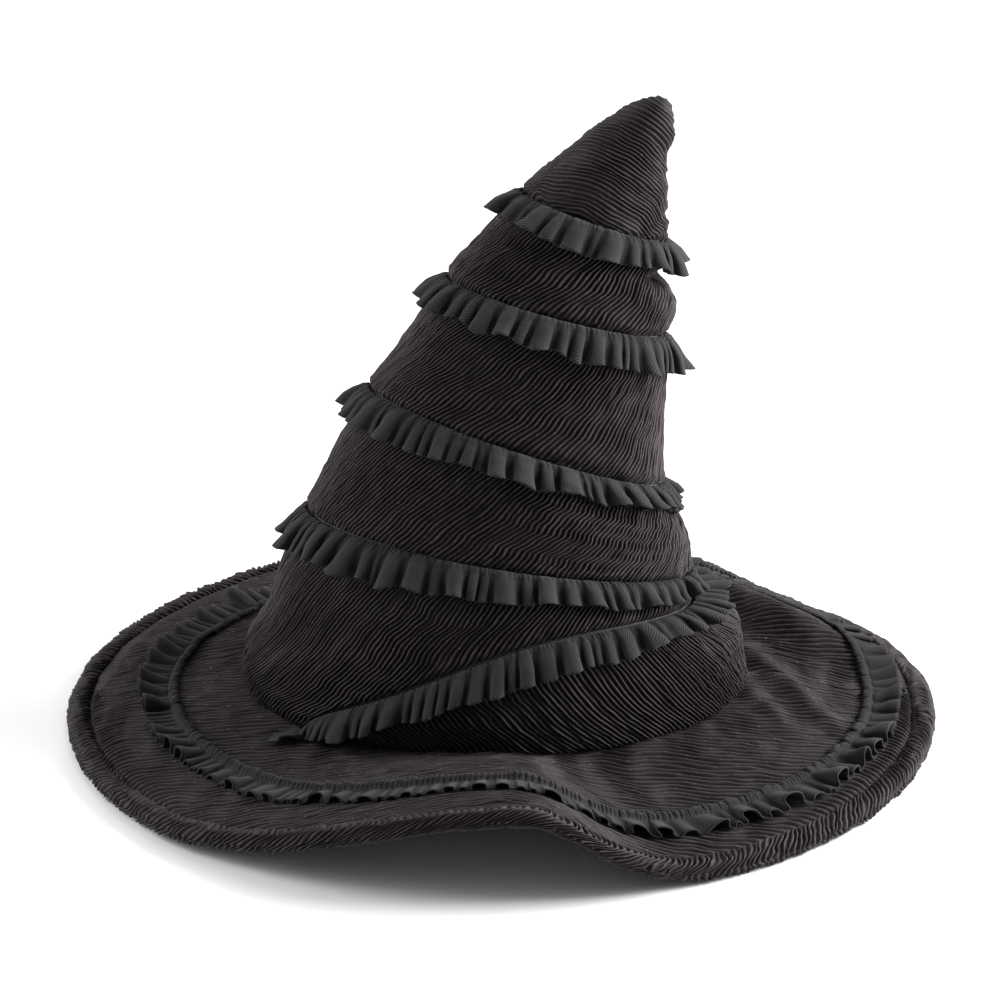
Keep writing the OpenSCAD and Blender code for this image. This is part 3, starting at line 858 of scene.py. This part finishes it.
def core(material):
    """The stiff foam between the two faces of the brim."""
    f = np.linspace(0.0, 360.0, 361)[:-1][:, None]
    share, drop = section_loop(np.linspace(0.0, 1.0, 21), *CORE_DROP)
    near, far = HOLE_R + 1.5, edge_r(f) - ROLL_IN - 1.0
    points = brim_polar(f, near + (far - near) * share, drop)
    return add_foam("brim_foam_core", f, points, material, "brim_core")


def sweatband(material):
    """A grosgrain band inside the opening, with rolled edges."""
    f = np.linspace(0.0, 360.0, 361)[:-1][:, None]
    z = np.linspace(0.0, 1.0, 25)[None, :]
    sag = 0.25 * noise(f / 360 * 30, z * 2, 95, 30)
    edge = 0.3 * (np.exp(-((z - 0.07) / 0.03) ** 2) + np.exp(-((z - 0.93) / 0.03) ** 2))
    r = BAND_R + 1.0 + sag * 0.6 + 0 * z
    r = r - edge
    bottom = BRIM_TOP - UNDER + 0.4
    points = np.stack([
        r * cosd(f), r * sind(f), bottom + (BAND_H - 0.8) * z + 0 * f], axis=-1)
    u = np.concatenate([f, f[:1] + 360]) * math.radians(BAND_R) + 0 * z
    w = np.zeros((len(f) + 1, 1)) + z * BAND_H
    piece = add_shell("head_band", points, BAND_T, True, u, w, material, "sweatband", ["sweatband"])
    return piece


# ---- materials
class Shade:
    """A material's nodes, joined by short calls."""

    def __init__(self, name):
        self.material = bpy.data.materials.new(name)
        self.material.use_nodes = True
        self.nodes = self.material.node_tree.nodes
        self.links = self.material.node_tree.links
        self.surface = self.nodes["Principled BSDF"]

    def join(self, out, into):
        self.links.new(out, into)

    def noise(self, scale, detail=4.0, rough=0.55, stretch=None):
        made = self.nodes.new("ShaderNodeTexNoise")
        made.inputs["Scale"].default_value = scale
        made.inputs["Detail"].default_value = detail
        made.inputs["Roughness"].default_value = rough
        start = self.nodes.new("ShaderNodeTexCoord").outputs["Object"]
        if stretch is not None:
            mapping = self.nodes.new("ShaderNodeMapping")
            mapping.inputs["Scale"].default_value = stretch
            self.join(start, mapping.inputs["Vector"])
            start = mapping.outputs["Vector"]
        self.join(start, made.inputs["Vector"])
        return made.outputs["Fac"]

    def math(self, kind, a, b=None):
        made = self.nodes.new("ShaderNodeMath")
        made.operation = kind
        for k, value in enumerate((a, b)):
            if value is None:
                continue
            if isinstance(value, (int, float)):
                made.inputs[k].default_value = value
            else:
                self.join(value, made.inputs[k])
        return made.outputs[0]

    def spread(self, value, low, high, to_low, to_high):
        made = self.nodes.new("ShaderNodeMapRange")
        self.join(value, made.inputs["Value"])
        for key, number in (("From Min", low), ("From Max", high), ("To Min", to_low), ("To Max", to_high)):
            made.inputs[key].default_value = number
        return made.outputs["Result"]

    def colours(self, value, stops):
        made = self.nodes.new("ShaderNodeValToRGB")
        ramp_of = made.color_ramp
        while len(ramp_of.elements) < len(stops):
            ramp_of.elements.new(0.5)
        for element, (place, colour) in zip(ramp_of.elements, stops):
            element.position = place
            element.color = (*colour, 1.0)
        self.join(value, made.inputs["Fac"])
        return made.outputs["Color"]

    def blend(self, value, first, second):
        made = self.nodes.new("ShaderNodeMix")
        made.data_type = "RGBA"
        self.join(value, made.inputs[0])
        for socket, colour in ((made.inputs[6], first), (made.inputs[7], second)):
            if isinstance(colour, tuple):
                socket.default_value = (*colour, 1.0)
            else:
                self.join(colour, socket)
        return made.outputs[2]

    def bump(self, height, strength, distance, before=None):
        made = self.nodes.new("ShaderNodeBump")
        made.inputs["Strength"].default_value = strength
        made.inputs["Distance"].default_value = distance
        self.join(height, made.inputs["Height"])
        if before is not None:
            self.join(before, made.inputs["Normal"])
        return made.outputs["Normal"]

    def cloth(self):
        """The cloth's own coordinates, in millimetres: along it and across it."""
        coords = self.nodes.new("ShaderNodeUVMap")
        coords.uv_map = "cloth"
        split = self.nodes.new("ShaderNodeSeparateXYZ")
        self.join(coords.outputs["UV"], split.inputs["Vector"])
        return split.outputs["X"], split.outputs["Y"]

    def weave(self, along, across, scale):
        """A plain weave, from -1 to 1."""
        first = self.math("SINE", self.math("MULTIPLY", along, scale))
        second = self.math("SINE", self.math("MULTIPLY", across, scale))
        return self.math("MULTIPLY", first, second)

    def paint(self, colour, roughness, normal=None):
        self.join(colour, self.surface.inputs["Base Color"])
        self.join(roughness, self.surface.inputs["Roughness"])
        if normal is not None:
            self.join(normal, self.surface.inputs["Normal"])

    def set(self, **values):
        for key, value in values.items():
            self.surface.inputs[key.replace("_", " ")].default_value = value


def pleated_material():
    """Crinkle-pleated black cloth with a soft warm sheen; painted shade darkens the pleats' valleys and a
    greyish painted highlight, patchy along them, lightens their crests, with painted glints.
    """
    s = Shade("pleated_cloth")
    crest = s.nodes.new("ShaderNodeAttribute")
    crest.attribute_name = "crest"
    painted_highlight_patches = s.noise(110.0, 5.0, 0.6)
    speck = s.noise(1500.0, 3.0, 0.7)
    spark = s.noise(750.0, 1.0, 0.5)
    # Painted light: the colour runs from a near-black painted shade in the pleats' valleys to a greyish
    # painted highlight on their crests, the highlight stronger in patches.
    ridge = s.spread(crest.outputs["Fac"], 0.56, 0.98, 0.0, 1.0)
    top = s.math("MULTIPLY", ridge, s.spread(painted_highlight_patches, 0.32, 0.68, 0.25, 1.0))
    colour = s.blend(top, (0.0030, 0.0026, 0.0027), (0.0330, 0.0272, 0.0270))
    # Painted glints: small bright specks where the crest highlight is, and sparse brighter spots on the
    # crests.
    glint = s.math("MULTIPLY", s.spread(speck, 0.48, 0.8, 0.0, 0.9), top)
    colour = s.blend(glint, colour, (0.085, 0.072, 0.071))
    star = s.math("MULTIPLY", s.spread(spark, 0.68, 0.80, 0.0, 0.8), ridge)
    colour = s.blend(star, colour, (0.17, 0.155, 0.152))
    roughness = s.spread(speck, 0.3, 0.7, 0.50, 0.72)
    along, across = s.cloth()
    weave = s.weave(along, across, 14.0)
    fine = s.bump(weave, 0.25, 0.0001)
    s.paint(colour, roughness, s.bump(speck, 0.55, 0.0003, fine))
    s.set(Sheen_Weight=0.02, Sheen_Roughness=0.4, Specular_IOR_Level=0.26)
    s.surface.inputs["Sheen Tint"].default_value = (1.0, 0.88, 0.89, 1.0)
    s.surface.inputs["Specular Tint"].default_value = (1.0, 0.88, 0.89, 1.0)
    return s.material


def twill_material():
    """Matt charcoal twill with its fine diagonal ribs."""
    s = Shade("twill")
    along, across = s.cloth()
    slant = s.math("ADD", s.math("MULTIPLY", along, 4.6), s.math("MULTIPLY", across, 4.6))
    rib = s.math("SINE", slant)
    mottle = s.noise(140.0, 5.0, 0.6)
    fuzz = s.noise(2600.0, 2.0, 0.7)
    colour = s.blend(s.spread(rib, -1.0, 1.0, 0.0, 1.0), (0.0090, 0.0085, 0.0088), (0.0240, 0.0228, 0.0236))
    colour = s.blend(s.spread(mottle, 0.3, 0.7, 0.0, 0.35), colour, (0.026, 0.0245, 0.0255))
    # Painted shade: the colour goes near-black where the attribute crest is low, in the valleys of the
    # ruffles' folds and in the gaps between their gathers.
    crest = s.nodes.new("ShaderNodeAttribute")
    crest.attribute_name = "crest"
    colour = s.blend(s.spread(crest.outputs["Fac"], 0.0, 0.80, 0.92, 0.0), colour, (0.0028, 0.0026, 0.0027))
    roughness = s.spread(fuzz, 0.3, 0.7, 0.75, 0.95)
    first = s.bump(rib, 0.6, 0.00015)
    s.paint(colour, roughness, s.bump(fuzz, 0.4, 0.00015, first))
    s.set(Specular_IOR_Level=0.18, Sheen_Weight=0.07, Sheen_Roughness=0.5)
    return s.material


def lining_material():
    """Plain-weave black lining with a slight sheen."""
    s = Shade("lining")
    along, across = s.cloth()
    weave = s.weave(along, across, 9.0)
    mottle = s.noise(60.0, 5.0, 0.6)
    colour = s.blend(s.spread(mottle, 0.3, 0.7, 0.0, 1.0), (0.014, 0.014, 0.016), (0.026, 0.026, 0.029))
    colour = s.blend(s.spread(weave, -1.0, 1.0, 0.0, 0.4), colour, (0.040, 0.040, 0.044))
    s.paint(colour, s.spread(mottle, 0.3, 0.7, 0.45, 0.62),
            s.bump(weave, 0.35, 0.0001))
    s.set(Specular_IOR_Level=0.4, Sheen_Weight=0.15)
    return s.material


def ribbed_material():
    """Grosgrain: fine ribs across the band."""
    s = Shade("sweatband")
    along, across = s.cloth()
    rib = s.math("SINE", s.math("MULTIPLY", along, 7.0))
    edge = s.math("SINE", s.math("MULTIPLY", across, 2.1))
    mottle = s.noise(120.0, 4.0, 0.6)
    colour = s.blend(s.spread(rib, -1.0, 1.0, 0.0, 1.0), (0.009, 0.009, 0.010), (0.022, 0.022, 0.024))
    colour = s.blend(s.spread(mottle, 0.3, 0.7, 0.0, 0.3), colour, (0.035, 0.034, 0.034))
    s.paint(colour, s.spread(edge, -1.0, 1.0, 0.55, 0.68),
            s.bump(rib, 0.6, 0.0002))
    s.set(Specular_IOR_Level=0.4)
    return s.material


def foam_material():
    """Dark open-cell foam."""
    s = Shade("foam")
    cells = s.nodes.new("ShaderNodeTexVoronoi")
    cells.inputs["Scale"].default_value = 900.0
    s.join(s.nodes.new("ShaderNodeTexCoord").outputs["Object"], cells.inputs["Vector"])
    colour = s.colours(cells.outputs["Distance"], [(0.0, (0.03, 0.03, 0.033)), (0.6, (0.11, 0.11, 0.12))])
    s.paint(colour, s.spread(s.noise(200.0), 0.3, 0.7, 0.85, 0.98),
            s.bump(cells.outputs["Distance"], 0.6, 0.0004))
    return s.material


def tape_material():
    """Woven cotton tape."""
    s = Shade("cotton_tape")
    weave = s.noise(1400.0, 2.0, 0.6, (1.0, 1.0, 3.0))
    colour = s.blend(s.spread(weave, 0.35, 0.65, 0.0, 1.0), (0.02, 0.02, 0.02), (0.06, 0.06, 0.06))
    s.paint(colour, s.spread(s.noise(150.0), 0.3, 0.7, 0.8, 0.95),
            s.bump(weave, 0.5, 0.0002))
    return s.material


def wire_material():
    """Drawn spring wire."""
    s = Shade("wire")
    scratch = s.noise(500.0, 3.0, 0.6, (1.0, 1.0, 6.0))
    colour = s.blend(s.spread(scratch, 0.3, 0.7, 0.0, 1.0), (0.32, 0.32, 0.34), (0.55, 0.55, 0.57))
    s.paint(colour, s.spread(scratch, 0.3, 0.7, 0.25, 0.45))
    s.set(Metallic=1.0)
    return s.material


# ---- stage
FLOOR_HALF = 6.0       # metres
CAMERA_TILT = 20.0


def add_camera():
    lens = bpy.data.cameras.new("camera")
    lens.sensor_width = 36.0
    lens.lens = 145.7
    lens.clip_end = 20.0
    camera = bpy.data.objects.new("camera", lens)
    camera.location = (0.0, -1.8794, 0.834)
    tilt = math.radians(CAMERA_TILT)
    forward = Vector((0.0, math.cos(tilt), -math.sin(tilt)))
    upward = Vector((0.0, math.sin(tilt), math.cos(tilt)))
    look = forward - 0.0015 * Vector((1.0, 0.0, 0.0)) - 0.01448 * upward
    camera.rotation_euler = look.to_track_quat("-Z", "Y").to_euler()
    bpy.context.scene.collection.objects.link(camera)
    bpy.context.scene.camera = camera


def add_light(name, place, target, size, power, colour=(1, 1, 1)):
    lamp = bpy.data.lights.new(name, "AREA")
    lamp.shape = "RECTANGLE"
    lamp.size, lamp.size_y = size
    lamp.energy = power
    lamp.color = colour
    made = bpy.data.objects.new(name, lamp)
    made.location = place
    made.rotation_euler = (Vector(target) - Vector(place)).to_track_quat("-Z", "Y").to_euler()
    bpy.context.scene.collection.objects.link(made)


def add_stage():
    mesh = bpy.data.meshes.new("floor")
    h = FLOOR_HALF
    mesh.from_pydata([(-h, -h, 0), (h, -h, 0), (h, h, 0), (-h, h, 0)], [], [(0, 1, 2, 3)])
    floor = bpy.data.objects.new("floor", mesh)
    bpy.context.scene.collection.objects.link(floor)
    paper = Shade("floor_paper")
    paper.set(Base_Color=(0.92, 0.92, 0.92, 1.0), Roughness=0.9)
    mesh.materials.append(paper.material)
    world = bpy.data.worlds.new("world")
    world.use_nodes = True
    world.node_tree.nodes["Background"].inputs["Color"].default_value = (1.0, 1.0, 1.0, 1.0)
    world.node_tree.nodes["Background"].inputs["Strength"].default_value = 0.27
    bpy.context.scene.world = world
    bpy.context.scene.view_settings.view_transform = "Standard"
    add_light("left", (-1.45, 0.0, 0.75), (0, 0, 0.15), (0.9, 1.3), 27)
    add_light("right", (1.45, 0.1, 0.70), (0, 0, 0.15), (0.9, 1.3), 74)
    add_light("floor", (0.0, 2.3, 1.0), (0, 2.31, 0), (4.0, 1.6), 24)
    add_light("top", (0.0, 0.7, 2.0), (0, 0, 0.1), (1.6, 1.2), 9)


# ---- build
add_camera()
add_stage()

pleated = pleated_material()
twill = twill_material()
plain = lining_material()
ribbed = ribbed_material()
carried = {
    "foam": foam_material(),
    "cotton_tape": tape_material(),
    "wire": wire_material(),
}

tip_panel(pleated)
gap = 0.001


def at_share(share):
    return lambda f: share + 0 * f


pleated_band("crown_band_2", "crown_panel_2", at_share(SEAMS[2] + gap),
             at_share(SEAMS[1] - gap), 42, 102, pleated, 292, 40, rough=0.6)
pleated_band("crown_band_3", "crown_panel_3", at_share(SEAMS[3] + gap),
             at_share(SEAMS[2] - gap), 38, 103, pleated, 415, 42, rough=0.5)
pleated_band("crown_band_4", "crown_panel_4", at_share(SEAMS[4] + gap),
             at_share(SEAMS[3] - gap), 32, 104, pleated, 520, 44, rough=0.6)
pleated_band("crown_band_5", "crown_panel_5", lambda f: np.maximum(seam_5(f) + 0.002, 0.002),
             at_share(SEAMS[4] - gap), 34, 105, pleated, 660, 48, ground=0.002, rough=0.6)
pleated_band("crown_base", "crown_base_panel", at_share(0.002),
             lambda f: np.maximum(seam_5(f) - 0.002, 0.004), -24, 106, pleated, 605, 40, 3.0,
             (SEAM_5_TURN - SEAM_5_END + 5, SEAM_5_TURN + SEAM_5_END - 5), BASE_PITCH, rough=0.6)
FLAPS = {
    1: [(33, 12, 5.0, 2.3)],
    2: [(10, 7, 1.5, 1.5)],
    3: [],
    4: [(-18, 12, 0.5, 1.2)],
}
for number in (1, 2, 3, 4):
    crown_ruffle(number, 200 + 10 * number, twill, "crown_ruffle_%d" % number, flaps=FLAPS[number])
crown_ruffle(5, 250, twill, "crown_ruffle_5", flaps=[(-128, 9, 4.0, 0.8)],
             span=(SEAM_5_TURN - SEAM_5_END - 3, SEAM_5_TURN + SEAM_5_END - 4))
brim_ruffle(twill)
brim_cover(pleated)
binding(pleated)
brim_under(plain)
lining(plain)
core(carried["foam"])
FOAM_BANDS = (("base", 0.004, 0.25), ("lower", 0.256, 0.50), ("upper", 0.506, 0.75), ("tip", 0.756, 0.95))
for name, low, high in FOAM_BANDS:
    foam_band("foam_" + name, low, high, carried["foam"], "crown_foam_" + name)
head_tape(carried["cotton_tape"])
sweatband(ribbed)

for name, piece in frame["nodes"].items():
    for slot, material in carried.items():
        if any(row["node"] == name and row["material_slot"] == slot for row in frame["record"]["subparts"]):
            piece.data.materials.clear()
            piece.data.materials.append(material)
